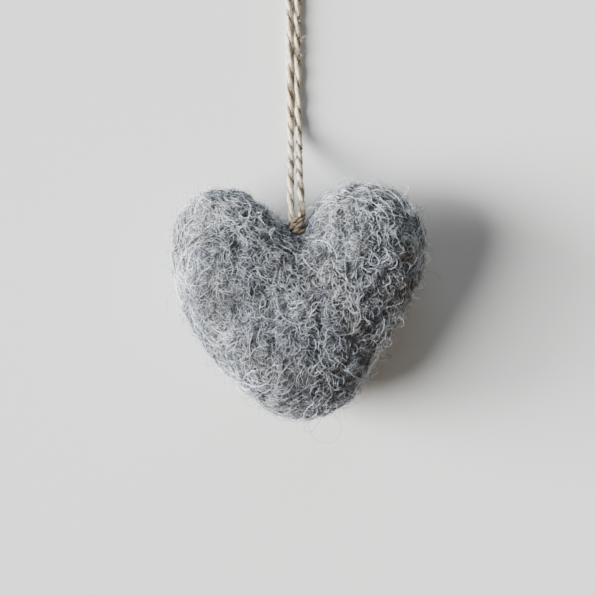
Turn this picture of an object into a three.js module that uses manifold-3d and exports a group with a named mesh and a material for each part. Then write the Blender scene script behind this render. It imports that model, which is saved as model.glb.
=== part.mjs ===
// Felt heart ornament: a plump heart of needle-felted wool on a loop of jute twine.
// Millimetres, +Z up. The heart lies on its back with its face up: +Y points from its tip to
// the cleft between its lobes, and its twine lies away from it along +Y. The origin is under
// the middle of the heart, on the surface that it lies on.

import * as THREE from 'three';
import { mergeVertices } from 'three/addons/utils/BufferGeometryUtils.js';
import Module from 'manifold-3d';

const wasm = await Module();
wasm.setup();

// Heart: each side is the form that a ball sweeps in the heart's own mid-plane on its way from
// the lobe to the tip that both sides share. On the way it is drawn out toward the flank and
// grows toward the flank's radius, as a curve is drawn toward its handle.
const LEFT_LOBE_RADIUS = 12.3;
const LEFT_LOBE_OUT = 19.0;
const LEFT_LOBE_UP = 16.1;
const LEFT_FLANK_RADIUS = 21.1;
const LEFT_FLANK_OUT = 12.6;
const LEFT_FLANK_UP = 1.9;
const RIGHT_LOBE_RADIUS = 15.2;
const RIGHT_LOBE_OUT = 16.4;
const RIGHT_LOBE_UP = 14.4;
const RIGHT_FLANK_RADIUS = 16.6;
const RIGHT_FLANK_OUT = 15.0;
const RIGHT_FLANK_UP = 8.0;
const TIP_RADIUS = 16.0;
const TIP_OFFSET = 0.8;
const TIP_DOWN = 11.9;
const SWEEP_STEPS = 30;

// Heart: a ball of wool fills the middle under the cleft, and the felting rounds every join.
const BODY_RADIUS = 17.0;
const BODY_OFFSET = 1.5;
const BODY_DOWN = 1.0;
const JOIN_ROUNDING = 4.5;
const DEPTH_SHARE = 0.84;

// Heart: hand felting leaves low, soft lumps, and lying on its back flattens a small spot.
const LUMP_HEIGHT = 0.22;
const LUMP_LENGTH = 11.0;
const FLAT_SPOT_DEPTH = 1.5;
const FELT_SUBDIVISIONS = 13;

// Twine and its knot
const TWINE_DIAMETER = 1.8;
const TWINE_SIDES = 8;
const TWINE_STEPS = 76;
const KNOT_WIDTH = 4.4;
const KNOT_LENGTH = 4.8;
const KNOT_DEPTH = 4.4;
const KNOT_SUNK = 2.1;
const KNOT_OFFSET = -0.25;
const KNOT_FORWARD = 3.8;
const GROOVE_SHARE = 0.09;
const FIT_GAP = 0.3;
const TWINE_CLEARANCE = 0.1;

// Centre of the twine from the knot out along one strand, round the loop's end and back:
// sideways from the knot's middle, out from its upper end, and height as a share of the
// height of the knot over the surface that the twine lies on.
const TWINE_ROUTE = [
  [-1.25, FIT_GAP, 1.0], [-1.45, 2.5, 0.985], [-1.58, 5.5, 0.9], [-1.62, 9.0, 0.74],
  [-1.6, 13.0, 0.5], [-1.6, 17.0, 0.27], [-1.62, 21.0, 0.1], [-1.7, 25.5, 0.015],
  [-1.85, 32.0, 0.0], [-1.95, 40.0, 0.0], [-2.0, 49.0, 0.0], [-2.25, 57.5, 0.0],
  [-3.4, 64.5, 0.0], [-6.0, 71.5, 0.0], [-8.1, 78.5, 0.0], [-7.4, 85.5, 0.0],
  [-3.4, 90.2, 0.0], [2.0, 90.4, 0.0], [6.3, 86.0, 0.0], [7.2, 79.0, 0.0],
  [5.1, 71.8, 0.0], [2.1, 64.8, 0.0], [0.2, 57.5, 0.0], [0.05, 49.0, 0.0],
  [0.1, 40.0, 0.0], [0.2, 32.0, 0.0], [0.38, 25.5, 0.015], [0.45, 21.0, 0.1],
  [0.5, 17.0, 0.27], [0.6, 13.0, 0.5], [0.8, 9.0, 0.74], [1.02, 5.5, 0.9],
  [1.15, 2.5, 0.985], [1.15, FIT_GAP, 1.0],
];

const WOOL_GREY = 0x86888a;
const TWINE_STRAW = 0xb3a184;
const KNOT_BROWN = 0x9a8263;

function ball(x, y, radius) {
  return { centre: new THREE.Vector3(x, y, 0), radius };
}

// The balls that one side's swept form passes through, from the lobe to the tip
function sweep(lobe, flank, tip) {
  const balls = [];
  for (let step = 0; step <= SWEEP_STEPS; step++) {
    const gone = step / SWEEP_STEPS;
    const weights = [(1 - gone) ** 2, 2 * gone * (1 - gone), gone ** 2];
    const passed = ball(0, 0, 0);
    [lobe, flank, tip].forEach(({ centre, radius }, i) => {
      passed.centre.addScaledVector(centre, weights[i]);
      passed.radius += radius * weights[i];
    });
    balls.push(passed);
  }
  return balls;
}

function distanceToBalls(point, balls) {
  let nearest = Infinity;
  for (const { centre, radius } of balls) {
    nearest = Math.min(nearest, point.distanceTo(centre) - radius);
  }
  return nearest;
}

// The lesser of two distances, with the join between the two forms rounded over
function roundedJoin(first, second) {
  const overlap = Math.max(JOIN_ROUNDING - Math.abs(first - second), 0) / JOIN_ROUNDING;
  return Math.min(first, second) - overlap * overlap * JOIN_ROUNDING / 4;
}

// Low lumps of the hand-felted surface
function lump(point) {
  const turn = 2 * Math.PI / LUMP_LENGTH;
  const across = Math.sin(point.x * turn + 1.3 * Math.sin(point.y * turn * 0.6 + 0.4));
  const along = Math.sin(point.y * turn * 0.9 + 2.1 + 1.1 * Math.sin(point.z * turn * 0.7));
  const deep = Math.sin(point.z * turn * 0.8 + 0.9 * Math.sin(point.x * turn * 0.5 + 1.7));
  return LUMP_HEIGHT * (across * along + 0.6 * deep * along);
}

const tip = ball(TIP_OFFSET, -TIP_DOWN, TIP_RADIUS);
const leftSide = sweep(
  ball(-LEFT_LOBE_OUT, LEFT_LOBE_UP, LEFT_LOBE_RADIUS),
  ball(-LEFT_FLANK_OUT, LEFT_FLANK_UP, LEFT_FLANK_RADIUS), tip);
const rightSide = sweep(
  ball(RIGHT_LOBE_OUT, RIGHT_LOBE_UP, RIGHT_LOBE_RADIUS),
  ball(RIGHT_FLANK_OUT, RIGHT_FLANK_UP, RIGHT_FLANK_RADIUS), tip);
const body = ball(BODY_OFFSET, -BODY_DOWN, BODY_RADIUS);

// Signed distance to the heart, negative inside it; the mid-plane is z = 0 here
function heartDistance(place) {
  const point = new THREE.Vector3(place.x, place.y, place.z / DEPTH_SHARE);
  const sides = roundedJoin(distanceToBalls(point, leftSide), distanceToBalls(point, rightSide));
  return roundedJoin(sides, distanceToBalls(point, [body])) - lump(place);
}

// First place out from an inner point, along a direction, where the heart's surface lies
function surfaceAlong(from, direction) {
  const stride = 0.5;
  const place = from.clone();
  while (heartDistance(place) < 0) place.addScaledVector(direction, stride);
  let inside = -stride;
  let outside = 0;
  for (let halving = 0; halving < 24; halving++) {
    const middle = (inside + outside) / 2;
    if (heartDistance(place.clone().addScaledVector(direction, middle)) < 0) inside = middle;
    else outside = middle;
  }
  return place.addScaledVector(direction, outside);
}

// Foot of the cleft: the lowest place of the heart's upper edge between its two lobes
function lowestBetweenLobes() {
  const upward = new THREE.Vector3(0, 1, 0);
  const stride = 0.1;
  let lowest = null;
  for (let x = -LEFT_LOBE_OUT / 2; x <= RIGHT_LOBE_OUT / 2; x += stride) {
    const place = surfaceAlong(new THREE.Vector3(x, body.centre.y, 0), upward);
    if (lowest === null || place.y < lowest.y) lowest = place;
  }
  return lowest;
}

function toSolid(geometry) {
  const bare = geometry.clone();
  bare.deleteAttribute('normal');
  bare.deleteAttribute('uv');
  const merged = mergeVertices(bare, 1e-4);
  return new wasm.Manifold(new wasm.Mesh({
    numProp: 3,
    vertProperties: new Float32Array(merged.getAttribute('position').array),
    triVerts: new Uint32Array(merged.getIndex().array),
  }));
}

function toGeometry(solid) {
  const mesh = solid.getMesh();
  const geometry = new THREE.BufferGeometry();
  geometry.setAttribute('position', new THREE.BufferAttribute(mesh.vertProperties, 3));
  geometry.setIndex(new THREE.BufferAttribute(mesh.triVerts, 1));
  geometry.computeVertexNormals();
  return geometry;
}

// A ball stretched to a knot's three sizes, optionally with the grooves between its wraps
function knotShape(margin, groove) {
  const knot = new THREE.SphereGeometry(1, 16, 14);
  const positions = knot.getAttribute('position');
  const point = new THREE.Vector3();
  for (let i = 0; i < positions.count; i++) {
    point.fromBufferAttribute(positions, i);
    const tilted = point.y + 0.35 * point.x;
    point.multiplyScalar(1 - groove * (1 + Math.cos(tilted * 3 * Math.PI)));
    positions.setXYZ(
      i,
      point.x * (KNOT_WIDTH / 2 + margin),
      point.y * (KNOT_LENGTH / 2 + margin),
      point.z * (KNOT_DEPTH / 2 + margin));
  }
  return knot;
}

// The whole heart about its own mid-plane, before the flat spot and the knot's socket
function heartGeometry() {
  const rays = new THREE.IcosahedronGeometry(1, FELT_SUBDIVISIONS);
  const positions = rays.getAttribute('position');
  const direction = new THREE.Vector3();
  for (let i = 0; i < positions.count; i++) {
    direction.fromBufferAttribute(positions, i).normalize();
    const place = surfaceAlong(body.centre, direction);
    positions.setXYZ(i, place.x, place.y, place.z);
  }
  return rays;
}

const wholeHeart = heartGeometry();
wholeHeart.computeBoundingBox();
const heartBox = wholeHeart.boundingBox;
const floorLevel = heartBox.min.z + FLAT_SPOT_DEPTH;
const middleX = (heartBox.min.x + heartBox.max.x) / 2;
const middleY = (heartBox.min.y + heartBox.max.y) / 2;

// The knot sits at the foot of the cleft, sunk into the wool, a little in front of the middle
// and a touch to the left
const cleftFoot = lowestBetweenLobes();
const knotCentre = new THREE.Vector3(
  cleftFoot.x + KNOT_OFFSET, cleftFoot.y + KNOT_LENGTH / 2 - KNOT_SUNK, KNOT_FORWARD);

function feltHeart() {
  const size = heartBox.getSize(new THREE.Vector3());
  const below = new THREE.BoxGeometry(2 * size.x, 2 * size.y, size.z);
  below.translate(middleX, middleY, floorLevel - size.z / 2);
  const socket = knotShape(FIT_GAP, 0);
  socket.translate(knotCentre.x, knotCentre.y, knotCentre.z);
  return toGeometry(toSolid(wholeHeart).subtract(toSolid(below)).subtract(toSolid(socket)));
}

// One tube of constant section along the whole route
function twineLoop() {
  const restHeight = floorLevel + TWINE_CLEARANCE + TWINE_DIAMETER / 2;
  const points = TWINE_ROUTE.map(([side, out, share]) => new THREE.Vector3(
    knotCentre.x + side,
    knotCentre.y + KNOT_LENGTH / 2 + out,
    THREE.MathUtils.lerp(restHeight, knotCentre.z, share)));
  const section = new THREE.Shape();
  for (let side = 0; side < TWINE_SIDES; side++) {
    const turn = 2 * Math.PI * side / TWINE_SIDES;
    const x = Math.cos(turn) * TWINE_DIAMETER / 2;
    const y = Math.sin(turn) * TWINE_DIAMETER / 2;
    if (side === 0) section.moveTo(x, y);
    else section.lineTo(x, y);
  }
  section.closePath();
  return toGeometry(toSolid(new THREE.ExtrudeGeometry(section, {
    steps: TWINE_STEPS,
    extrudePath: new THREE.CatmullRomCurve3(points),
  })));
}

function twineKnot() {
  const knot = knotShape(0, GROOVE_SHARE);
  knot.translate(knotCentre.x, knotCentre.y, knotCentre.z);
  return toGeometry(toSolid(knot));
}

function piece(name, geometry, color, roughness) {
  const material = new THREE.MeshStandardMaterial({ color, roughness, metalness: 0 });
  const mesh = new THREE.Mesh(geometry, material);
  mesh.name = name;
  return mesh;
}

const ornament = new THREE.Group();
ornament.add(
  piece('felt_heart', feltHeart(), WOOL_GREY, 1.0),
  piece('twine_loop', twineLoop(), TWINE_STRAW, 0.9),
  piece('twine_knot', twineKnot(), KNOT_BROWN, 0.9),
);
ornament.position.set(-middleX, -middleY, -floorLevel);

export default ornament;
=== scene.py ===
"""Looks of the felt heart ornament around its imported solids, in metres.

The heart lies on its back, and the camera looks straight down on its face. Its wool is many
single curled fibres laid over a smooth body, and its twine is two twisted plies.
"""

import math
from functools import reduce

import bpy
import numpy as np
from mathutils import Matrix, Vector
from mathutils.bvhtree import BVHTree


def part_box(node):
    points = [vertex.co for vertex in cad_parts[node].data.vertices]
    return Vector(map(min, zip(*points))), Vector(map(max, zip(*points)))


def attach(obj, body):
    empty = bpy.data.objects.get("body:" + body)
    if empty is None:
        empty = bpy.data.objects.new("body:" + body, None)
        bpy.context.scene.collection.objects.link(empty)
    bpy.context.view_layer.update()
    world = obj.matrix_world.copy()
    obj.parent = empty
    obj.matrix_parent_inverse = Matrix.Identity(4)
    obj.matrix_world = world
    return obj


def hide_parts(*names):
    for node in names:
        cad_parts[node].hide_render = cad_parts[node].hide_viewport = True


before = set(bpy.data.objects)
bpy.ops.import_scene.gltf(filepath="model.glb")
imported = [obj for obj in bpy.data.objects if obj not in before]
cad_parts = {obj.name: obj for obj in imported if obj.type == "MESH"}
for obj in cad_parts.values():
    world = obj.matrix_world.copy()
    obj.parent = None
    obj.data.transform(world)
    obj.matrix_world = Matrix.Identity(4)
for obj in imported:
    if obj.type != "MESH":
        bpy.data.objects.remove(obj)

MM = 0.001
SEED = 20240
UP = np.array((0.0, 0.0, 1.0))
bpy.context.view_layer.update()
heart_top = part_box("felt_heart")[1][2]
knot_low, knot_high = (np.array(corner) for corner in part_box("twine_knot"))
knot_centre = (knot_low + knot_high) / 2

# Picture: millimetres for each of its pixels at the heart's middle, its width in pixels, the
# pixel over the frame's origin, and the camera's lens and sensor
MM_PER_PIXEL = 0.25
PICTURE_WIDTH = 595
ORIGIN_PIXEL = (298.9, 301.6)
LENS_MM = 85.0
SENSOR_MM = 36.0

# Twine
TWINE_DIAMETER = 1.8 * MM
TWINE_CLEARANCE = 0.1 * MM
FIT_GAP = 0.3
PLY_RADIUS = 0.68 * MM
PLY_OFFSET = 0.31 * MM
PLY_PITCH = 11.5 * MM
YARNS_IN_PLY = 5
TWINE_STEP = 0.4 * MM
PLY_SIDES = 12
TWINE_LIFT = 0.05 * MM

# How unlike a perfect twist the plies are: turn in radians, the rest as shares
TWIST_SWAY = 0.45
PLY_DRIFT = 0.10
YARN_GROOVE = 0.17
PLY_SWELL = 0.06
PLY_ROUGHNESS = 0.022

# Centre of the twine, the route that its solid takes: sideways from the knot's middle and
# out from its upper end in millimetres, and height as a share of the knot's own height
TWINE_ROUTE = [
    (-1.25, FIT_GAP, 1.0), (-1.45, 2.5, 0.985), (-1.58, 5.5, 0.9), (-1.62, 9.0, 0.74),
    (-1.6, 13.0, 0.5), (-1.6, 17.0, 0.27), (-1.62, 21.0, 0.1), (-1.7, 25.5, 0.015),
    (-1.85, 32.0, 0.0), (-1.95, 40.0, 0.0), (-2.0, 49.0, 0.0), (-2.25, 57.5, 0.0),
    (-3.4, 64.5, 0.0), (-6.0, 71.5, 0.0), (-8.1, 78.5, 0.0), (-7.4, 85.5, 0.0),
    (-3.4, 90.2, 0.0), (2.0, 90.4, 0.0), (6.3, 86.0, 0.0), (7.2, 79.0, 0.0),
    (5.1, 71.8, 0.0), (2.1, 64.8, 0.0), (0.2, 57.5, 0.0), (0.05, 49.0, 0.0),
    (0.1, 40.0, 0.0), (0.2, 32.0, 0.0), (0.38, 25.5, 0.015), (0.45, 21.0, 0.1),
    (0.5, 17.0, 0.27), (0.6, 13.0, 0.5), (0.8, 9.0, 0.74), (1.02, 5.5, 0.9),
    (1.15, 2.5, 0.985), (1.15, FIT_GAP, 1.0),
]

# Where each end of the twine's line stops inside the knot, in the route's own terms
TUCK_SIDE = 0.6
TUCK_OUT = -2.4

# The knot's own winding: turns, points and the strand's half thickness, then its thinner plies,
# the spacing of their rings and how far they taper at the ends
KNOT_TURNS = 2.75
KNOT_POINTS = 260
KNOT_STRAND = 0.80 * MM
KNOT_PLY_RADIUS = 0.50 * MM
KNOT_PLY_OFFSET = 0.27 * MM
KNOT_PLY_PITCH = 5.0 * MM
KNOT_STEP = 0.16 * MM
KNOT_TAPER = 1.0 * MM

# Loose ends of bast on the twine
HAIR_COUNT = 260
HAIR_POINTS = 7
HAIR_LIFT = 0.08 * MM

# Felt body: how finely it is remeshed and smoothed, how far it lies below the solid's surface,
# and the low waves that dent it
FELT_VOXEL = 0.6 * MM
FELT_SMOOTHINGS = 10
FELT_DEPTH = 0.12 * MM
DENT_WAVES = 26
DENT_HEIGHT = 0.05 * MM

# Deeper needle marks: those on the face, in millimetres from the frame's origin, how many lie on
# the rest of the heart, and the share of the depth that those have
FACE_PITS = [(21.0, -3.4), (-6.0, -9.1), (4.8, -4.1), (5.0, 17.2), (-15.5, 12.0), (10.5, -16.0)]
BACK_PITS = 14
BACK_PIT_SHARE = 0.7
PIT_DEPTH = 1.0 * MM
PIT_RADIUS = 1.1 * MM

# Fibres that are kept clear of the face's needle marks stay this far from their middles, so that
# the marks darken: painted shade beyond the dents' own
PIT_CLEARANCE = 0.75 * MM

# How far the felt's normal points up: more than the first is the face, and less than the
# second, up or down, is a side, where wrapped fibres start
FACE_SLOPE = 0.2
SIDE_SLOPE = 0.72

# Fibres that come this near the knot's middle are left out, unless they lie this far below its top
KNOT_CLEARANCE = 1.9 * MM
KNOT_COVER = 1.2 * MM

# Fibres: least height over the floor, how deep the ends of matted and of loose ones sit in the
# felt, the ripple of the matted ones, and how far aside the far ends of the loose ones stray
FIBRE_LIFT = 0.15 * MM
FIBRE_ROOT = 0.05 * MM
FUZZ_ROOT = 0.08 * MM
FIBRE_RIPPLE = 0.06 * MM
FUZZ_STRAY = 0.25 * MM

# Lighter and darker places of the wool, partly its own tone and partly painted light: painted
# highlight on the lobes and the left flank, where the lamps fall, and painted shade by the cleft,
# on the right flank and over the lower half, most at the tip. Middle from the frame's origin and
# radius in millimetres, and how many times as light it is there
TONE_AND_LIGHT_PATCHES = [
    ((-26.0, 23.0), 10.5, 1.7), ((-10.0, 22.0), 9.5, 1.7), ((-3.5, 10.0), 7.0, 0.80),
    ((-19.5, -0.5), 11.5, 0.64), ((-8.0, -13.0), 9.0, 0.74), ((9.5, -8.5), 10.0, 0.76),
    ((0.5, -22.5), 11.0, 0.56), ((20.5, 21.0), 10.0, 1.5), ((23.0, 5.0), 8.0, 0.88),
    ((9.0, 11.0), 8.0, 1.22), ((-6.5, 15.5), 5.5, 0.84), ((-30.0, 4.0), 7.5, 1.4),
]

# Directions of the felt's four layers of crossing fibre lines, as turns round x, y and z, and
# how far noise bends them
FELT_TURNS = [(0.3, 0.2, 0.2), (1.0, 0.4, 1.3), (0.2, 1.2, 2.4), (0.7, 0.9, 0.8)]
FELT_BEND = 2.2 * MM

# Single long hairs that leave the heart, in millimetres from the frame's origin: a wide and a
# small curl under the tip, then short ends, two at the left flank and two at the right
STRAY_HAIRS = [
    [(7.8, -27.6, 13.5), (9.8, -29.3, 14.0), (10.7, -31.4, 14.6), (10.0, -33.6, 15.0),
     (8.3, -35.1, 15.2), (6.0, -35.2, 15.2), (3.9, -34.1, 15.0), (2.8, -32.1, 14.8),
     (2.5, -30.1, 14.4), (3.0, -27.8, 13.8)],
    [(1.3, -28.2, 15.6), (1.2, -30.6, 16.0), (1.7, -32.2, 16.2), (3.0, -32.4, 16.0),
     (4.2, -31.2, 15.6), (5.3, -29.6, 15.0), (6.5, -27.8, 14.2)],
    [(-25.6, -9.0, 12.5), (-27.0, -8.2, 13.0), (-28.4, -6.6, 13.6)],
    [(-29.3, 3.0, 15.0), (-31.9, 1.8, 15.5), (-33.0, -0.4, 15.8), (-32.6, -2.4, 15.6)],
    [(29.0, 6.0, 15.0), (32.0, 7.5, 16.0), (34.2, 7.0, 16.5), (35.6, 5.2, 16.6)],
    [(20.0, -16.0, 14.0), (22.5, -17.0, 14.6), (24.0, -19.0, 15.0)],
]
STRAY_POINTS = 25

# Stage: half the floor's side, soft suns as name, direction toward, spread in degrees, strength
# and colour, and the surroundings' colour by height, pale at the horizon
FLOOR_HALF = 3.0
LIGHTS = [
    ("key", (-0.57, -0.08, 0.355), 34, 7.6, (1.0, 0.995, 0.985)),
    ("rim", (-0.50, 0.04, 0.12), 30, 11.0, (1.0, 1.0, 1.0)),
    ("warm_fill", (0.45, -0.55, 0.43), 60, 0.5, (1.0, 0.70, 0.42)),
    ("cool_fill", (-0.02, 0.62, 0.25), 50, 0.85, (0.62, 0.83, 1.0)),
]
SKY = [(0.0, (0.60, 0.61, 0.61)), (0.10, (0.50, 0.51, 0.52)), (0.32, (0.06, 0.066, 0.072))]


def unit(vectors):
    """Vectors of length one, along the last axis."""
    return vectors / np.maximum(np.linalg.norm(vectors, axis=-1, keepdims=True), 1e-12)


# Meshes

def mesh_object(name, vertices, faces, smooth=True):
    """A mesh object from vertex rows and rows of faces, all with the same number of corners."""
    faces = np.asarray(faces, np.int32)
    count, corners = faces.shape
    mesh = bpy.data.meshes.new(name)
    mesh.vertices.add(len(vertices))
    mesh.vertices.foreach_set("co", np.asarray(vertices, np.float32).ravel())
    mesh.loops.add(count * corners)
    mesh.loops.foreach_set("vertex_index", faces.ravel())
    mesh.polygons.add(count)
    mesh.polygons.foreach_set("loop_start", np.arange(count, dtype=np.int32) * corners)
    mesh.update(calc_edges=True)
    mesh.validate()
    mesh.polygons.foreach_set("use_smooth", np.full(len(mesh.polygons), smooth))
    piece = bpy.data.objects.new(name, mesh)
    bpy.context.scene.collection.objects.link(piece)
    return piece


def catmull_rom(points):
    """The centripetal curve through all the points, as 40 close points for each gap."""
    points = np.asarray(points, float)
    first = 2 * points[0] - points[1]
    last = 2 * points[-1] - points[-2]
    padded = np.vstack([first, points, last])
    share = np.linspace(0, 1, 40, endpoint=False)[:, None]
    runs = []
    for p0, p1, p2, p3 in zip(padded, padded[1:], padded[2:], padded[3:]):
        before, here, after = (math.sqrt(np.linalg.norm(b - a))
                               for a, b in ((p0, p1), (p1, p2), (p2, p3)))
        leave = ((p1 - p0) / before - (p2 - p0) / (before + here) + (p2 - p1) / here) * here
        arrive = ((p2 - p1) / here - (p3 - p1) / (here + after) + (p3 - p2) / after) * here
        cubic = 2 * p1 - 2 * p2 + leave + arrive
        square = -3 * p1 + 3 * p2 - 2 * leave - arrive
        runs.append(p1 + share * leave + share ** 2 * square + share ** 3 * cubic)
    return np.vstack(runs + [points[-1:]])


def evenly(points, step):
    """The same line with its points a given step apart."""
    lengths = np.concatenate([[0], np.cumsum(np.linalg.norm(np.diff(points, axis=0), axis=1))])
    marks = np.linspace(0, lengths[-1], max(int(round(lengths[-1] / step)), 2) + 1)
    return np.column_stack([np.interp(marks, lengths, points[:, i]) for i in range(3)])


def line_length(points):
    return float(np.linalg.norm(np.diff(points, axis=0), axis=1).sum())


def carried_frame(line):
    """Two directions across a line at each of its points, carried along it without twist."""
    tangents = unit(np.gradient(line, axis=0))
    across = np.empty_like(line)
    carried = UP
    for i, tangent in enumerate(tangents):
        carried = unit(carried - tangent * np.dot(carried, tangent))
        across[i] = carried
    return across, np.cross(tangents, across)


def tube(line, radii):
    """Closed tube round a line: radii holds one row for each point and one column a side."""
    count, sides = radii.shape
    first, second = carried_frame(line)
    angles = np.arange(sides) * 2 * math.pi / sides
    rings = (line[:, None, :]
             + radii[:, :, None] * (np.cos(angles)[None, :, None] * first[:, None, :]
                                    + np.sin(angles)[None, :, None] * second[:, None, :]))
    vertices = np.vstack([rings.reshape(-1, 3), line[:1], line[-1:]])
    side = np.arange(sides)
    after = (side + 1) % sides
    base = (np.arange(count - 1) * sides)[:, None]
    beyond = base + sides
    lower = np.stack([base + side, base + after, beyond + after], axis=-1).reshape(-1, 3)
    upper = np.stack([base + side, beyond + after, beyond + side], axis=-1).reshape(-1, 3)
    head = np.full(sides, count * sides)
    tail = head + 1
    end = (count - 1) * sides
    caps = np.vstack([np.stack([after, side, head], axis=1),
                      np.stack([end + side, end + after, tail], axis=1)])
    return vertices, np.vstack([lower, upper, caps])


def joined(parts):
    """One pair of vertex and face arrays from several."""
    vertices, faces, offset = [], [], 0
    for part_vertices, part_faces in parts:
        vertices.append(part_vertices)
        faces.append(part_faces + offset)
        offset += len(part_vertices)
    return np.vstack(vertices), np.vstack(faces)


def rope(line, ply_radius, ply_offset, pitch, sides, rng, taper=0.0):
    """Two plies twisted round a line, each with the grooves of its own yarns.

    Also says which faces lie in the grooves, nearer the line than most, for a darker material there
    that is painted shade."""
    first, second = carried_frame(line)
    along = np.concatenate([[0], np.cumsum(np.linalg.norm(np.diff(line, axis=0), axis=1))])
    parts = []
    for ply in range(2):
        sway = TWIST_SWAY * np.sin(along / pitch * 1.9 + 0.8)
        turn = (ply * math.pi - 2 * math.pi * along / pitch - sway)[:, None]
        drift = 1 + PLY_DRIFT * np.sin(along / pitch * 4.3 + ply * 2.1)[:, None]
        centre = line + ply_offset * drift * (np.cos(turn) * first + np.sin(turn) * second)
        angle = np.arange(sides)[None, :] * 2 * math.pi / sides
        yarn_turn = YARNS_IN_PLY / 2 * (angle + 2 * math.pi * along[:, None] / (pitch * 0.8))
        groove = 1 - YARN_GROOVE * (1 - np.abs(np.sin(yarn_turn))) ** 2
        swell = 1 + PLY_SWELL * np.sin(along / pitch * 7.7 + ply * 1.3)[:, None]
        rough = 1 + rng.normal(0, PLY_ROUGHNESS, (len(line), sides))
        radii = ply_radius * groove * swell * rough
        if taper:
            fade = np.clip(np.minimum(along, along[-1] - along) / taper, 0.15, 1) ** 0.5
            radii = radii * fade[:, None]
        parts.append(tube(centre, radii))
    vertices, faces = joined(parts)
    rows = np.repeat(np.arange(len(line)), sides)
    rows = np.tile(np.concatenate([rows, [0, len(line) - 1]]), 2)
    out = np.linalg.norm(vertices - line[rows], axis=1)[faces].mean(axis=1)
    row = rows[faces[:, 0]]
    grain = (rng.normal(0, 0.06, len(faces)) + 0.09 * np.sin(row * 0.11)
             + 0.09 * np.sin(row * 0.043 + 2))
    groove_edge = ply_offset * 0.35 + ply_radius * 0.97
    return vertices, faces, out + grain * ply_radius < groove_edge


# Materials

def new_material(name, roughness, sheen=0.0, specular=0.3):
    material = bpy.data.materials.new(name)
    material.use_nodes = True
    shader = material.node_tree.nodes["Principled BSDF"]
    shader.inputs["Roughness"].default_value = roughness
    shader.inputs["Sheen Weight"].default_value = sheen
    shader.inputs["Sheen Roughness"].default_value = 0.4
    shader.inputs["Specular IOR Level"].default_value = specular
    return material, shader


def add_node(owner, kind, **inputs):
    """A node of a kind in a material or the world, its sockets set by name: a socket is linked,
    any other value is set."""
    node = owner.node_tree.nodes.new(kind)
    for name, value in inputs.items():
        socket = node.inputs[name.replace("_", " ")]
        if isinstance(value, bpy.types.NodeSocket):
            link(owner, value, socket)
        else:
            socket.default_value = value
    return node


def link(owner, source, target):
    owner.node_tree.links.new(source, target)


def combined(owner, kind, operation, first, second):
    """Math or vector math node: first is a socket, second a socket or a fixed vector."""
    node = owner.node_tree.nodes.new(kind)
    node.operation = operation
    link(owner, first, node.inputs[0])
    if isinstance(second, bpy.types.NodeSocket):
        link(owner, second, node.inputs[1])
    else:
        node.inputs[1].default_value = second
    return node


def noise(material, coordinates, scale, detail=2.0, roughness=0.5, distortion=0.0):
    node = add_node(material, "ShaderNodeTexNoise", Vector=coordinates, Scale=scale, Detail=detail,
                    Roughness=roughness, Distortion=distortion)
    return node.outputs["Fac"]


def ramp(owner, value, stops):
    """Colour ramp: stops are (position, (r, g, b)) pairs."""
    node = add_node(owner, "ShaderNodeValToRGB", Fac=value)
    elements = node.color_ramp.elements
    while len(elements) < len(stops):
        elements.new(0.5)
    for element, (position, colour) in zip(elements, stops):
        element.position = position
        element.color = (*colour, 1)
    return node.outputs["Color"]


def fibre_lines(material, coordinates, turn, scale, seed):
    """Thin wandering lines that run one way: noise stretched along a turned axis."""
    shift = add_node(material, "ShaderNodeMapping", Vector=coordinates,
                     Location=(seed, seed * 0.7, 0.0), Rotation=turn,
                     Scale=(scale, scale * 0.14, scale))
    return noise(material, shift.outputs["Vector"], scale=1.0, detail=1.0, distortion=0.9)


def tone_and_light_factor(material, coordinates, power):
    """How light the wool is for its place: patches that run through the heart from its face, partly
    its own tone and partly painted highlight and shade.
    """
    flat = combined(material, "ShaderNodeVectorMath", "MULTIPLY", coordinates, (1, 1, 0)).outputs[0]
    fades = []
    for (x, y), radius, factor in TONE_AND_LIGHT_PATCHES:
        middle = (x * MM, y * MM, 0)
        away = combined(material, "ShaderNodeVectorMath", "DISTANCE", flat, middle).outputs["Value"]
        fade = material.node_tree.nodes.new("ShaderNodeMapRange")
        fade.interpolation_type = "SMOOTHSTEP"
        link(material, away, fade.inputs["Value"])
        fade.inputs["From Max"].default_value = radius * MM
        fade.inputs["To Min"].default_value = factor ** power
        fade.inputs["To Max"].default_value = 1.0
        fades.append(fade.outputs["Result"])
    return reduce(lambda product, fade: combined(material, "ShaderNodeMath", "MULTIPLY", product,
                                                 fade).outputs[0], fades)


def wool_tone_and_light(material, coordinates, colour, power):
    """The colour times the tones that drift over the heart in patches, grey, bluish or brown, and
    times the lighter and darker patches, which are partly painted highlight and shade.
    """
    broad = noise(material, coordinates, scale=85.0, detail=3.0, roughness=0.6)
    tone = ramp(material, broad, ((0.34, (0.57, 0.58, 0.59)), (0.48, (0.83, 0.845, 0.86)),
                                  (0.66, (1.16, 1.18, 1.20))))
    aside = add_node(material, "ShaderNodeMapping", Vector=coordinates, Location=(0.31, 0.17, 0.05))
    hue = ramp(material, noise(material, aside.outputs["Vector"], scale=120.0),
               ((0.36, (0.93, 0.99, 1.08)), (0.54, (0.97, 1.0, 1.035)),
                (0.70, (1.02, 0.995, 0.98))))
    for factor in (tone, hue, tone_and_light_factor(material, coordinates, power)):
        mixed = material.node_tree.nodes.new("ShaderNodeMix")
        mixed.data_type = "RGBA"
        mixed.blend_type = "MULTIPLY"
        mixed.clamp_result = True
        mixed.inputs[0].default_value = 1.0
        link(material, colour, mixed.inputs[6])
        link(material, factor, mixed.inputs[7])
        colour = mixed.outputs[2]
    return colour


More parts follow.
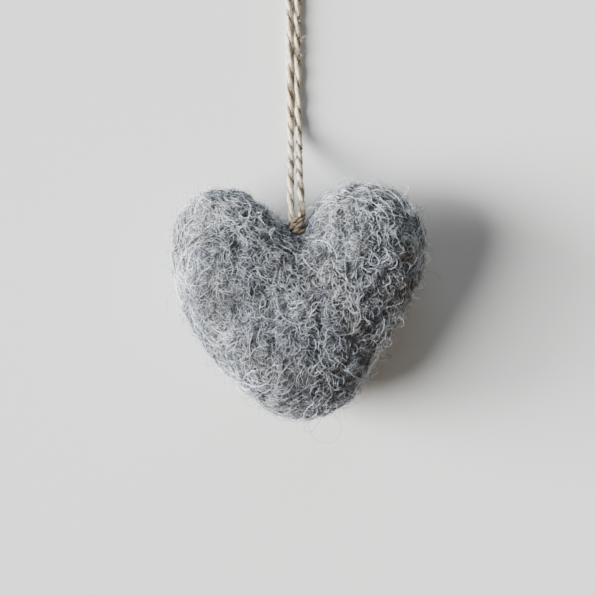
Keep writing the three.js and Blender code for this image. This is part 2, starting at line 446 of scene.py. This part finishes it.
def felt_material():
    """Matted wool under the loose fibres: crossing fibre lines over near-black gaps, the gaps
    painted shade between the lines.
    """
    material, shader = new_material("wool_mat", 0.95, sheen=0.25, specular=0.1)
    coordinates = add_node(material, "ShaderNodeTexCoord").outputs["Object"]
    warp = add_node(material, "ShaderNodeTexNoise", Vector=coordinates, Scale=420.0, Detail=2.0)
    bent = add_node(material, "ShaderNodeVectorMath")
    bent.operation = "MULTIPLY_ADD"
    link(material, warp.outputs["Color"], bent.inputs[0])
    bent.inputs[1].default_value = (FELT_BEND, FELT_BEND, FELT_BEND)
    link(material, coordinates, bent.inputs[2])
    layers = [fibre_lines(material, bent.outputs["Vector"], turn, scale=5200.0, seed=3.1 * number)
              for number, turn in enumerate(FELT_TURNS)]
    lines = reduce(lambda largest, layer: combined(material, "ShaderNodeMath", "MAXIMUM", largest,
                                                   layer).outputs[0], layers)
    # Near-black where no fibre line runs: painted shade in the gaps between the lines
    colour = ramp(material, lines, ((0.50, (0.018, 0.019, 0.021)), (0.60, (0.11, 0.112, 0.118)),
                                    (0.68, (0.30, 0.305, 0.31)), (0.80, (0.62, 0.62, 0.62))))
    colour = wool_tone_and_light(material, coordinates, colour, power=1.4)
    link(material, colour, shader.inputs["Base Color"])
    bump = add_node(material, "ShaderNodeBump", Height=lines, Strength=0.8, Distance=0.3 * MM)
    link(material, bump.outputs["Normal"], shader.inputs["Normal"])
    return material


def fibre_material(name, dark, light, power=0.0, roughness=0.6, specular=0.35):
    """Single fibres of one shade: the tone drifts from fibre to fibre and along each.

    A power over 0 adds the wool's patches, partly painted highlight and shade, the more strongly
    the higher it is."""
    material, shader = new_material(name, roughness, sheen=0.2, specular=specular)
    coordinates = add_node(material, "ShaderNodeTexCoord").outputs["Object"]
    drift = noise(material, coordinates, scale=900.0)
    colour = ramp(material, drift, ((0.36, dark), (0.64, light)))
    colour = wool_tone_and_light(material, coordinates, colour, power) if power else colour
    link(material, colour, shader.inputs["Base Color"])
    grain = noise(material, coordinates, scale=9000.0, detail=1.0)
    bump = add_node(material, "ShaderNodeBump", Height=grain, Strength=0.25, Distance=0.05 * MM)
    link(material, bump.outputs["Normal"], shader.inputs["Normal"])
    return material


def twine_material(name, dark, middle, light, scale=(4200.0, 620.0, 4200.0)):
    """Jute: bast fibres from brown to cream, in long streaks."""
    material, shader = new_material(name, 0.72, sheen=0.15, specular=0.3)
    coordinates = add_node(material, "ShaderNodeTexCoord").outputs["Object"]
    stretched = add_node(material, "ShaderNodeMapping", Vector=coordinates, Scale=scale)
    streaks = noise(material, stretched.outputs["Vector"], scale=1.0, detail=3.0, roughness=0.6,
                    distortion=0.8)
    colour = ramp(material, streaks, ((0.32, dark), (0.5, middle), (0.68, light)))
    link(material, colour, shader.inputs["Base Color"])
    bump = add_node(material, "ShaderNodeBump", Height=streaks, Strength=0.6, Distance=0.12 * MM)
    link(material, bump.outputs["Normal"], shader.inputs["Normal"])
    return material


def dress(piece, material, second=None, on_second=None):
    """Give a piece its material, and a second one on the faces marked for it."""
    piece.data.materials.clear()
    piece.data.materials.append(material)
    if second is not None:
        piece.data.materials.append(second)
        piece.data.polygons.foreach_set("material_index", on_second.astype(np.int32))
    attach(piece, "root")


# Camera

def make_camera():
    """Straight down over the picture's middle, with +Y up in the picture."""
    field = MM_PER_PIXEL * PICTURE_WIDTH * MM
    distance = LENS_MM / SENSOR_MM * field
    half = PICTURE_WIDTH / 2
    middle_x = (half - ORIGIN_PIXEL[0]) * MM_PER_PIXEL * MM
    middle_y = (ORIGIN_PIXEL[1] - half) * MM_PER_PIXEL * MM
    data = bpy.data.cameras.new("camera")
    data.lens = LENS_MM
    data.sensor_width = SENSOR_MM
    data.clip_start = 0.01
    camera = bpy.data.objects.new("camera", data)
    camera.location = (middle_x, middle_y, heart_top / 2 + distance)
    bpy.context.scene.collection.objects.link(camera)
    bpy.context.scene.camera = camera


# Twine, its knot and its hairs

def twine_line():
    """The solid's route, carried on at both ends into the knot."""
    rest = TWINE_CLEARANCE + TWINE_DIAMETER / 2
    route = [(-TUCK_SIDE, TUCK_OUT, 1.0)] + TWINE_ROUTE + [(TUCK_SIDE, TUCK_OUT, 1.0)]
    points = [(knot_centre[0] + side * MM, knot_high[1] + out * MM,
               rest + (knot_centre[2] - rest) * share) for side, out, share in route]
    return evenly(catmull_rom(points), TWINE_STEP)


def make_twine(line, rng):
    """Pale plies, with painted shade in the grooves between them and between their yarns."""
    vertices, faces, painted_groove_shade = rope(line, PLY_RADIUS, PLY_OFFSET, PLY_PITCH, PLY_SIDES, rng)
    vertices[:, 2] = np.maximum(vertices[:, 2], TWINE_LIFT)
    twine = mesh_object("jute_twine", vertices, faces)
    light = twine_material("jute", (0.22, 0.17, 0.105), (0.66, 0.565, 0.41), (0.97, 0.91, 0.765))
    # The darker material is painted shade for the faces in the grooves
    shade = twine_material("jute_painted_shade", (0.05, 0.038, 0.026), (0.17, 0.13, 0.085),
                           (0.38, 0.315, 0.22))
    dress(twine, light, shade, painted_groove_shade)
    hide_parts("twine_loop")
    return twine


def make_knot(rng):
    """Overhand knot pulled tight: the twine winds round its own two strands and tucks in."""
    turn = np.linspace(0, 2 * math.pi * KNOT_TURNS, KNOT_POINTS)
    share = turn / turn[-1]
    reach = (knot_high - knot_low) / 2 - KNOT_STRAND * 0.8
    swell = 0.80 + 0.22 * np.sin(math.pi * share) ** 0.7
    tilt = 0.55 * np.sin(turn + 0.6) * (1 - 0.7 * share)
    line = knot_centre + np.column_stack([np.cos(turn) * reach[0] * swell,
                                          (1 - 2 * share) * reach[1] + tilt * MM,
                                          np.sin(turn) * reach[2] * swell])
    line = evenly(line, KNOT_STEP)
    vertices, faces, painted_groove_shade = rope(line, KNOT_PLY_RADIUS, KNOT_PLY_OFFSET, KNOT_PLY_PITCH,
                                      PLY_SIDES, rng, taper=KNOT_TAPER)
    knot = mesh_object("tied_knot", vertices, faces)
    brown = twine_material("jute_knot", (0.10, 0.078, 0.05), (0.27, 0.215, 0.145),
                           (0.47, 0.40, 0.29), scale=(2600.0, 2600.0, 2600.0))
    # The darker material is painted shade for the faces in the knot's grooves
    shade = twine_material("jute_knot_painted_shade", (0.045, 0.034, 0.021), (0.13, 0.10, 0.065),
                           (0.22, 0.175, 0.12))
    dress(knot, brown, shade, painted_groove_shade)
    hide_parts("twine_knot")
    return knot


def make_twine_hairs(line, count, rng):
    """Fine loose ends of bast that stand out from the twine."""
    index = rng.integers(4, len(line) - 5, count)
    tangents = unit(line[index + 3] - line[index - 3])
    out = rng.normal(size=(count, 3))
    out[:, 2] = np.abs(out[:, 2]) * 0.7
    out = unit(out - tangents * np.sum(out * tangents, axis=1, keepdims=True))
    lengths = rng.gamma(2.4, 0.42, count) * MM + 0.5 * MM
    lean = rng.uniform(0.35, 1.6, count)[:, None] * rng.choice([-1, 1], count)[:, None]
    heading = unit(out + tangents * lean)
    curl = unit(rng.normal(size=(count, 3)))
    share = np.linspace(0, 1, HAIR_POINTS)[None, :, None]
    start = line[index] + out * 0.55 * TWINE_DIAMETER / 2
    bend = lengths * rng.uniform(0.1, 0.45, count)
    path = (start[:, None, :] + heading[:, None, :] * lengths[:, None, None] * share
            + curl[:, None, :] * bend[:, None, None] * share ** 2)
    path[:, :, 2] = np.maximum(path[:, :, 2], HAIR_LIFT)
    radius = rng.uniform(0.028, 0.05, count) * MM
    vertices, faces = fibre_arrays(path, np.broadcast_to(out[:, None, :], path.shape), radius)
    hairs = mesh_object("twine_hairs", vertices, faces)
    dress(hairs, fibre_material("jute_hair", (0.42, 0.34, 0.24), (0.80, 0.73, 0.60)))
    return hairs


# Wool

def fibre_arrays(path, up, radius):
    """Closed three-sided fibres that taper to a point at both ends.

    path is fibres by points by 3, up the direction off the felt there, radius one per fibre."""
    fibres, points, _ = path.shape
    tangents = unit(np.gradient(path, axis=1))
    up = unit(up - tangents * np.sum(up * tangents, axis=2, keepdims=True))
    across = np.cross(tangents, up)
    share = np.linspace(0, 1, points)
    taper = np.clip(np.minimum(share, 1 - share) * 5, 0, 1) ** 0.6
    size = (radius[:, None] * taper[None, :])[:, 1:-1, None, None]
    angles = np.array([math.pi / 2, math.pi * 7 / 6, math.pi * 11 / 6])
    ring = (np.sin(angles)[None, None, :, None] * up[:, 1:-1, None, :]
            + np.cos(angles)[None, None, :, None] * across[:, 1:-1, None, :])
    rings = path[:, 1:-1, None, :] + size * ring
    inner = points - 2
    own = inner * 3 + 2
    vertices = np.concatenate([rings.reshape(fibres, -1, 3), path[:, :1], path[:, -1:]], axis=1)
    corner = np.arange(3)
    after = (corner + 1) % 3
    base = (np.arange(inner - 1) * 3)[:, None]
    end = (inner - 1) * 3
    pattern = np.vstack([
        np.stack([base + corner, base + after + 3, base + after], axis=-1).reshape(-1, 3),
        np.stack([base + corner, base + corner + 3, base + after + 3], axis=-1).reshape(-1, 3),
        np.stack([corner, after, np.full(3, inner * 3)], axis=1),
        np.stack([end + after, end + corner, np.full(3, inner * 3 + 1)], axis=1)])
    faces = (pattern[None] + (np.arange(fibres) * own)[:, None, None]).reshape(-1, 3)
    return vertices.reshape(-1, 3), faces


def pits(places, normals, rng):
    """How far each vertex sinks into the deep needle marks, which are shallower off the face."""
    sunk = np.zeros(len(places))
    faces_up = normals[:, 2] > FACE_SLOPE
    for x, y in FACE_PITS:
        away = np.hypot(places[:, 0] - x * MM, places[:, 1] - y * MM)
        sunk += np.where(faces_up, PIT_DEPTH * np.exp(-(away / PIT_RADIUS) ** 2), 0)
    for middle in places[rng.choice(np.flatnonzero(normals[:, 2] < FACE_SLOPE), BACK_PITS)]:
        away = np.linalg.norm(places - middle, axis=1)
        sunk += BACK_PIT_SHARE * PIT_DEPTH * np.exp(-(away / PIT_RADIUS) ** 2)
    return sunk


def make_felt(rng):
    """The heart's own body: its solid smoothed to soft felt, with needle dents and low lumps."""
    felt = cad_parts["felt_heart"].copy()
    felt.data = felt.data.copy()
    felt.parent = None
    felt.name = felt.data.name = "wool_body"
    for key in list(felt.keys()):
        del felt[key]
    bpy.context.scene.collection.objects.link(felt)
    remesh = felt.modifiers.new("remesh", "REMESH")
    remesh.mode = "VOXEL"
    remesh.voxel_size = FELT_VOXEL
    smooth = felt.modifiers.new("smooth", "SMOOTH")
    smooth.factor = 0.5
    smooth.iterations = FELT_SMOOTHINGS
    bpy.context.view_layer.update()
    evaluated = felt.evaluated_get(bpy.context.evaluated_depsgraph_get())
    mesh = bpy.data.meshes.new_from_object(evaluated)
    felt.modifiers.clear()
    felt.data = mesh
    places, normals = mesh_points(mesh)
    dents = np.zeros(len(places))
    for _ in range(DENT_WAVES):
        wave = unit(rng.normal(size=3)) * 2 * math.pi / (rng.uniform(2.2, 6.5) * MM)
        dents += np.sin(places @ wave + rng.uniform(0, 6.3))
    dents *= DENT_HEIGHT
    places = places + normals * (dents - pits(places, normals, rng) - FELT_DEPTH)[:, None]
    places[:, 2] = np.maximum(places[:, 2], 0.0)
    mesh.vertices.foreach_set("co", places.astype(np.float32).ravel())
    mesh.update()
    mesh.polygons.foreach_set("use_smooth", np.ones(len(mesh.polygons), bool))
    dress(felt, felt_material())
    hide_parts("felt_heart")
    return felt


def mesh_points(mesh):
    count = len(mesh.vertices)
    places = np.empty(count * 3, np.float32)
    normals = np.empty(count * 3, np.float32)
    mesh.vertices.foreach_get("co", places)
    mesh.vertices.foreach_get("normal", normals)
    return places.reshape(-1, 3).astype(float), normals.reshape(-1, 3).astype(float)


class Surface:
    """The felt's surface: random places on it, and the nearest place to any point."""

    def __init__(self, mesh):
        mesh.calc_loop_triangles()
        places, _ = mesh_points(mesh)
        triangles = np.empty(len(mesh.loop_triangles) * 3, np.int32)
        mesh.loop_triangles.foreach_get("vertices", triangles)
        triangles = triangles.reshape(-1, 3)
        self.corners = places[triangles]
        edges = self.corners[:, 1:] - self.corners[:, :1]
        area = np.linalg.norm(np.cross(edges[:, 0], edges[:, 1]), axis=1)
        self.chance = area / area.sum()
        self.tree = BVHTree.FromPolygons(places.tolist(), triangles.tolist())

    def scatter(self, count, rng):
        chosen = self.corners[rng.choice(len(self.chance), count, p=self.chance)]
        u, v = rng.uniform(size=(2, count))
        flip = u + v > 1
        u, v = np.where(flip, 1 - u, u), np.where(flip, 1 - v, v)
        return (chosen[:, 0] + u[:, None] * (chosen[:, 1] - chosen[:, 0])
                + v[:, None] * (chosen[:, 2] - chosen[:, 0]))

    def settle(self, places):
        found = [self.tree.find_nearest(place)[:2] for place in places.tolist()]
        return (np.array([place for place, _ in found]), np.array([normal for _, normal in found]))


def wander(surface, count, points, stride, curl, rng, wrapped=False):
    """Fibre lines that curl over the felt: their places on it, and the direction off it there.

    Wrapped ones lie on the heart's sides and run round its outline."""
    if wrapped:
        place, normal = surface.settle(surface.scatter(4 * count, rng))
        sides = np.flatnonzero(np.abs(normal[:, 2]) < SIDE_SLOPE)[:count]
        place, normal = place[sides], normal[sides]
        count = len(sides)
        heading = np.cross(UP, normal) * rng.choice([-1, 1], count)[:, None]
        heading = unit(heading) + rng.normal(0, 0.22, (count, 3))
    else:
        place, normal = surface.settle(surface.scatter(count, rng))
        heading = rng.normal(size=(count, 3))
    steady = rng.uniform(0.35, 1.5, count) * rng.choice([-1, 1], count) * curl
    sway = rng.uniform(0.1, 0.8, count) * curl
    stride = stride * rng.uniform(0.62, 1.42, (count, 1))
    rate = stride[:, 0] * 2 * math.pi / (rng.uniform(2.2, 6.0, count) * MM)
    phase = rng.uniform(0, 2 * math.pi, count)
    lines = np.empty((count, points, 3))
    ups = np.empty((count, points, 3))
    for step in range(points):
        heading = unit(heading - normal * np.sum(heading * normal, axis=1, keepdims=True))
        lines[:, step] = place
        ups[:, step] = normal
        turn = (steady + sway * np.sin(phase + rate * step))[:, None] * stride
        heading = heading * np.cos(turn) + np.cross(normal, heading) * np.sin(turn)
        place, normal = surface.settle(place + heading * stride)
    return lines, ups


def fibres(name, lines, ups, material, rng, radius):
    """One piece of many fibres, off the floor and without those that cross over the knot."""
    beside = np.linalg.norm(lines[:, :, :2] - knot_centre[:2], axis=2) > KNOT_CLEARANCE
    below = lines[:, :, 2] < knot_high[2] - KNOT_COVER
    kept = (beside | below).all(axis=1)
    lines, ups = lines[kept], ups[kept]
    lines[:, :, 2] = np.maximum(lines[:, :, 2], FIBRE_LIFT)
    size = rng.uniform(*radius, len(lines))
    piece = mesh_object(name, *fibre_arrays(lines, ups, size))
    dress(piece, material)


def lay_fibres(name, surface, count, material, rng, radius, lift, curl=470.0, stride=0.66 * MM,
               points=9, wrapped=False, clear=False):
    """Matted fibres: each comes out of the felt, curls over its neighbours and goes back in.

    Clear ones stay off the deep needle marks of the face, which leaves the marks darker, as painted
    shade beyond the dents' own."""
    lines, ups = wander(surface, count, points, stride, curl, rng, wrapped)
    if clear:
        marks = np.array(FACE_PITS) * MM
        away = np.linalg.norm(lines[:, :, None, :2] - marks, axis=3).min(axis=(1, 2))
        kept = (away > PIT_CLEARANCE) | (ups[:, 0, 2] < 0)
        lines, ups = lines[kept], ups[kept]
    count = len(lines)
    share = np.linspace(0, 1, points)
    arch = np.sin(math.pi * share) ** 0.6
    height = rng.uniform(*lift, count)[:, None] * arch[None, :]
    ripple = FIBRE_RIPPLE * np.sin(share[None, :] * rng.uniform(5, 14, count)[:, None]
                                   + rng.uniform(0, 6.3, count)[:, None])
    lines = lines + ups * (height + ripple * arch[None, :] - FIBRE_ROOT)[:, :, None]
    fibres(name, lines, ups, material, rng, radius)


def loose_fibres(name, surface, count, material, rng, radius, reach, curl=600.0,
                 stride=0.62 * MM, points=7, wrapped=False):
    """Fuzz: fine fibres that stand off the felt as free ends and open curls."""
    lines, ups = wander(surface, count, points, stride, curl, rng, wrapped)
    count = len(lines)
    share = np.linspace(0, 1, points)[None, :]
    free = rng.uniform(size=count) < 0.5
    top = (rng.gamma(2.0, reach / 2.6, count))[:, None]
    height = np.where(free[:, None], top * share ** 1.3, top * np.sin(math.pi * share) ** 0.8)
    lines = lines + ups * (height - FUZZ_ROOT)[:, :, None]
    sideways = rng.normal(0, FUZZ_STRAY, (count, 3))
    lines = lines + sideways[:, None, :] * (share ** 2 * 1.4)[:, :, None]
    fibres(name, lines, ups, material, rng, radius)


def stray_hairs(material, rng):
    """The few long hairs, each a smooth curve through its own points."""
    lines = []
    for hair in STRAY_HAIRS:
        smooth = catmull_rom(np.array(hair) * MM)
        step = line_length(smooth) / (STRAY_POINTS - 1)
        lines.append(evenly(smooth, step)[:STRAY_POINTS])
    lines = np.array(lines)
    ups = np.broadcast_to(UP, lines.shape)
    fibres("stray_hairs", lines, ups, material, rng, (0.035 * MM, 0.05 * MM))


# Stage

def make_stage():
    """Plain pale floor, a soft key and rim from the left, soft fill, warm from below the picture
    and cool from above it, and surroundings that are pale near the horizon."""
    low, high = -FLOOR_HALF, FLOOR_HALF
    floor = mesh_object("floor", [(low, low, 0), (high, low, 0), (high, high, 0), (low, high, 0)],
                        [(0, 1, 2, 3)], smooth=False)
    material, shader = new_material("floor_paint", 0.9, specular=0.1)
    shader.inputs["Base Color"].default_value = (0.77, 0.775, 0.765, 1)
    floor.data.materials.append(material)
    for name, toward, spread, strength, colour in LIGHTS:
        data = bpy.data.lights.new(name, "SUN")
        data.angle = math.radians(spread)
        data.energy = strength
        data.color = colour
        light = bpy.data.objects.new(name, data)
        light.rotation_euler = Vector(toward).to_track_quat("Z", "Y").to_euler()
        bpy.context.scene.collection.objects.link(light)
    world = bpy.data.worlds.new("studio")
    world.use_nodes = True
    direction = add_node(world, "ShaderNodeTexCoord").outputs["Generated"]
    height = add_node(world, "ShaderNodeSeparateXYZ", Vector=direction).outputs["Z"]
    link(world, ramp(world, height, SKY), world.node_tree.nodes["Background"].inputs["Color"])
    bpy.context.scene.world = world


make_camera()
rng = np.random.default_rng(SEED)
line = twine_line()
twine = make_twine(line, rng)
knot = make_knot(rng)
hairs = make_twine_hairs(line, HAIR_COUNT, rng)

felt = make_felt(rng)
surface = Surface(felt.data)

# Shades of the wool's fibres, and the radii that they vary between
WHITE = fibre_material("wool_white", (0.72, 0.73, 0.745), (0.98, 0.985, 0.99), 1.7, roughness=0.32,
                       specular=1.0)
LIGHT = fibre_material("wool_light", (0.32, 0.325, 0.33), (0.56, 0.565, 0.57), 1.9)
MIDDLE = fibre_material("wool_middle", (0.11, 0.112, 0.117), (0.25, 0.25, 0.255), 1.8)
DARK = fibre_material("wool_dark", (0.014, 0.015, 0.017), (0.055, 0.056, 0.06), 0.5)
BROWN = fibre_material("wool_brown", (0.13, 0.085, 0.075), (0.30, 0.22, 0.19), 2.0)
THICK = (0.04 * MM, 0.09 * MM)
FINE = (0.03 * MM, 0.066 * MM)

# Matted fibres from the felt outwards: count, radii, and the least and most that they rise. The
# dark ones at the bottom also lie in the face's needle marks; keeping the others out of them is
# painted shade
lay_fibres("fibres_dark", surface, 2600, DARK, rng, THICK, (0.05 * MM, 0.50 * MM))
for name, count, material, radius, lift in (
    ("fibres_middle", 3250, MIDDLE, THICK, (0.08 * MM, 0.42 * MM)),
    ("fibres_brown", 350, BROWN, THICK, (0.1 * MM, 0.40 * MM)),
    ("fibres_light", 3400, LIGHT, FINE, (0.10 * MM, 0.46 * MM)),
    ("fibres_white", 4000, WHITE, FINE, (0.12 * MM, 0.54 * MM)),
    ("strands_dark", 900, DARK, FINE, (0.30 * MM, 0.60 * MM)),
):
    lay_fibres(name, surface, count, material, rng, radius, lift, clear=True)

# Fibres wrapped round the outline: count and radii
for name, count, material, radius in (
    ("wraps_dark", 420, DARK, FINE),
    ("wraps_white", 540, WHITE, THICK),
):
    lay_fibres(name, surface, count, material, rng, radius, (0.2 * MM, 0.8 * MM), curl=130.0,
               stride=0.85 * MM, points=14, wrapped=True)

# Fuzz all over, and a fringe of longer curls round the outline
loose_fibres("fuzz_white", surface, 3000, WHITE, rng, (0.03 * MM, 0.05 * MM), 1.4 * MM)
loose_fibres("fuzz_grey", surface, 1800, MIDDLE, rng, (0.03 * MM, 0.045 * MM), 1.6 * MM)
for name, count, material in (("halo_light", 380, LIGHT), ("halo_grey", 240, MIDDLE)):
    loose_fibres(name, surface, count, material, rng, (0.035 * MM, 0.055 * MM), 1.3 * MM,
                 curl=260.0, stride=0.8 * MM, points=10, wrapped=True)
stray_hairs(MIDDLE, rng)
make_stage()
